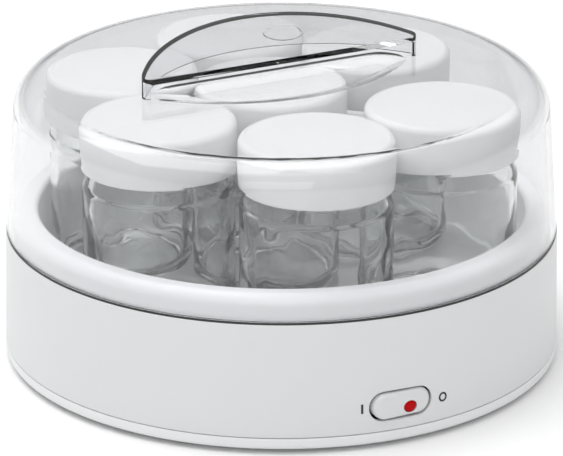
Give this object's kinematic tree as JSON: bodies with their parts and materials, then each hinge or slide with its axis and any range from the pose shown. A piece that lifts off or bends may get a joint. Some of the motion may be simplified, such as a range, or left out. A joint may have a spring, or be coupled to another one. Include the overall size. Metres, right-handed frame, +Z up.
{
  "type": "yogurt maker",
  "caption": "Round electric yogurt maker: a heated base with a rocker switch, screw-capped glass jars in a rimmed tub, and a clear domed lid with a half-moon grip.",
  "frame": {"origin": "centre of the footprint on the surface that the feet stand on", "axes": "+Z up, -Y to the front with the rocker switch, +Y to the back with the cord gland"},
  "size_m": [0.242, 0.2449, 0.1415],
  "materials": {
    "housing_white": "satin white ABS with a very fine grain",
    "tub_white": "glossy cool white moulding",
    "cap_white": "soft white polypropylene",
    "clear_lid": "polished clear polystyrene",
    "jar_glass": "clear pressed glass",
    "plate_aluminium": "fine turned aluminium",
    "plated_steel": "zinc plated",
    "rubber_foot": "matt moulded rubber",
    "black_plastic": "fine matt black",
    "rocker_white": "glossy white",
    "lens_red": "translucent red lens",
    "lamp_glass": "small neon bulb",
    "mica": "pressed mica and ceramic",
    "silicone_sleeve": "silicone sleeving"
  },
  "bodies": {
    "base": {"base_housing": "housing_white", "base_plate": "housing_white", "foot_1": "rubber_foot", "foot_2": "rubber_foot", "foot_3": "rubber_foot", "foot_4": "rubber_foot", "base_screw_1": "plated_steel", "base_screw_2": "plated_steel", "base_screw_3": "plated_steel", "base_screw_4": "plated_steel", "tub": "tub_white", "heating_plate": "plate_aluminium", "heating_element": "silicone_sleeve", "insulation_disc": "mica", "shield_screw_1": "plated_steel", "shield_screw_2": "plated_steel", "shield_screw_3": "plated_steel", "heat_shield": "plated_steel", "thermal_fuse": "mica", "fuse_clip": "plated_steel", "terminal_block": "black_plastic", "lead_live": "silicone_sleeve", "lead_switched": "silicone_sleeve", "lead_element": "silicone_sleeve", "lead_return": "silicone_sleeve", "cord_gland": "black_plastic", "switch_socket": "black_plastic", "indicator_lamp": "lamp_glass", "switch_terminal_in": "plated_steel", "switch_terminal_out": "plated_steel"},
    "rocker": {"switch_rocker": "rocker_white", "indicator_lens": "lens_red"},
    "lid": {"lid": "clear_lid"},
    "jar_1": {"jar_1": "jar_glass"},
    "cap_1": {"jar_cap_1": "cap_white"},
    "jar_2": {"jar_2": "jar_glass"},
    "cap_2": {"jar_cap_2": "cap_white"},
    "jar_3": {"jar_3": "jar_glass"},
    "cap_3": {"jar_cap_3": "cap_white"},
    "jar_4": {"jar_4": "jar_glass"},
    "cap_4": {"jar_cap_4": "cap_white"},
    "jar_5": {"jar_5": "jar_glass"},
    "cap_5": {"jar_cap_5": "cap_white"},
    "jar_6": {"jar_6": "jar_glass"},
    "cap_6": {"jar_cap_6": "cap_white"},
    "jar_7": {"jar_7": "jar_glass"},
    "cap_7": {"jar_cap_7": "cap_white"}
  },
  "joints": [
    {"name": "switch_rock", "type": "hinge", "parent": "base", "child": "rocker", "pos_m": [0, -0.115, 0.0185], "axis": [0, 0, -1], "range_deg": [0, 10]},
    {"name": "lid_lift", "type": "slide", "parent": "base", "child": "lid", "axis": [0, 0, 1], "range_m": [0, 0.13]},
    {"name": "jar_lift_1", "type": "slide", "parent": "base", "child": "jar_1", "axis": [0, 0, 1], "range_m": [0, 0.05]},
    {"name": "cap_turn_1", "type": "hinge", "parent": "jar_1", "child": "cap_1", "pos_m": [-0.0027, 0.0051, 0.11], "axis": [0, 0, 1], "range_deg": [0, 270]},
    {"name": "jar_lift_2", "type": "slide", "parent": "base", "child": "jar_2", "axis": [0, 0, 1], "range_m": [0, 0.05]},
    {"name": "cap_turn_2", "type": "hinge", "parent": "jar_2", "child": "cap_2", "pos_m": [-0.0144, -0.067, 0.11], "axis": [0, 0, 1], "range_deg": [0, 270]},
    {"name": "jar_lift_3", "type": "slide", "parent": "base", "child": "jar_3", "axis": [0, 0, 1], "range_m": [0, 0.05]},
    {"name": "cap_turn_3", "type": "hinge", "parent": "jar_3", "child": "cap_3", "pos_m": [0.0512, -0.0518, 0.11], "axis": [0, 0, 1], "range_deg": [0, 270]},
    {"name": "jar_lift_4", "type": "slide", "parent": "base", "child": "jar_4", "axis": [0, 0, 1], "range_m": [0, 0.05]},
    {"name": "cap_turn_4", "type": "hinge", "parent": "jar_4", "child": "cap_4", "pos_m": [0.0593, 0.0302, 0.11], "axis": [0, 0, 1], "range_deg": [0, 270]},
    {"name": "jar_lift_5", "type": "slide", "parent": "base", "child": "jar_5", "axis": [0, 0, 1], "range_m": [0, 0.05]},
    {"name": "cap_turn_5", "type": "hinge", "parent": "jar_5", "child": "cap_5", "pos_m": [0.0071, 0.0725, 0.11], "axis": [0, 0, 1], "range_deg": [0, 270]},
    {"name": "jar_lift_6", "type": "slide", "parent": "base", "child": "jar_6", "axis": [0, 0, 1], "range_m": [0, 0.05]},
    {"name": "cap_turn_6", "type": "hinge", "parent": "jar_6", "child": "cap_6", "pos_m": [-0.0551, 0.0475, 0.11], "axis": [0, 0, 1], "range_deg": [0, 270]},
    {"name": "jar_lift_7", "type": "slide", "parent": "base", "child": "jar_7", "axis": [0, 0, 1], "range_m": [0, 0.05]},
    {"name": "cap_turn_7", "type": "hinge", "parent": "jar_7", "child": "cap_7", "pos_m": [-0.0653, -0.0187, 0.11], "axis": [0, 0, 1], "range_deg": [0, 270]}
  ],
  "couplings": [
    {"joint": "jar_lift_1", "follows": "lid_lift", "ratio": 0.38461},
    {"joint": "jar_lift_2", "follows": "lid_lift", "ratio": 0.38461},
    {"joint": "jar_lift_3", "follows": "lid_lift", "ratio": 0.38461},
    {"joint": "jar_lift_4", "follows": "lid_lift", "ratio": 0.38461},
    {"joint": "jar_lift_5", "follows": "lid_lift", "ratio": 0.38461},
    {"joint": "jar_lift_6", "follows": "lid_lift", "ratio": 0.38461},
    {"joint": "jar_lift_7", "follows": "lid_lift", "ratio": 0.38461}
  ]
}
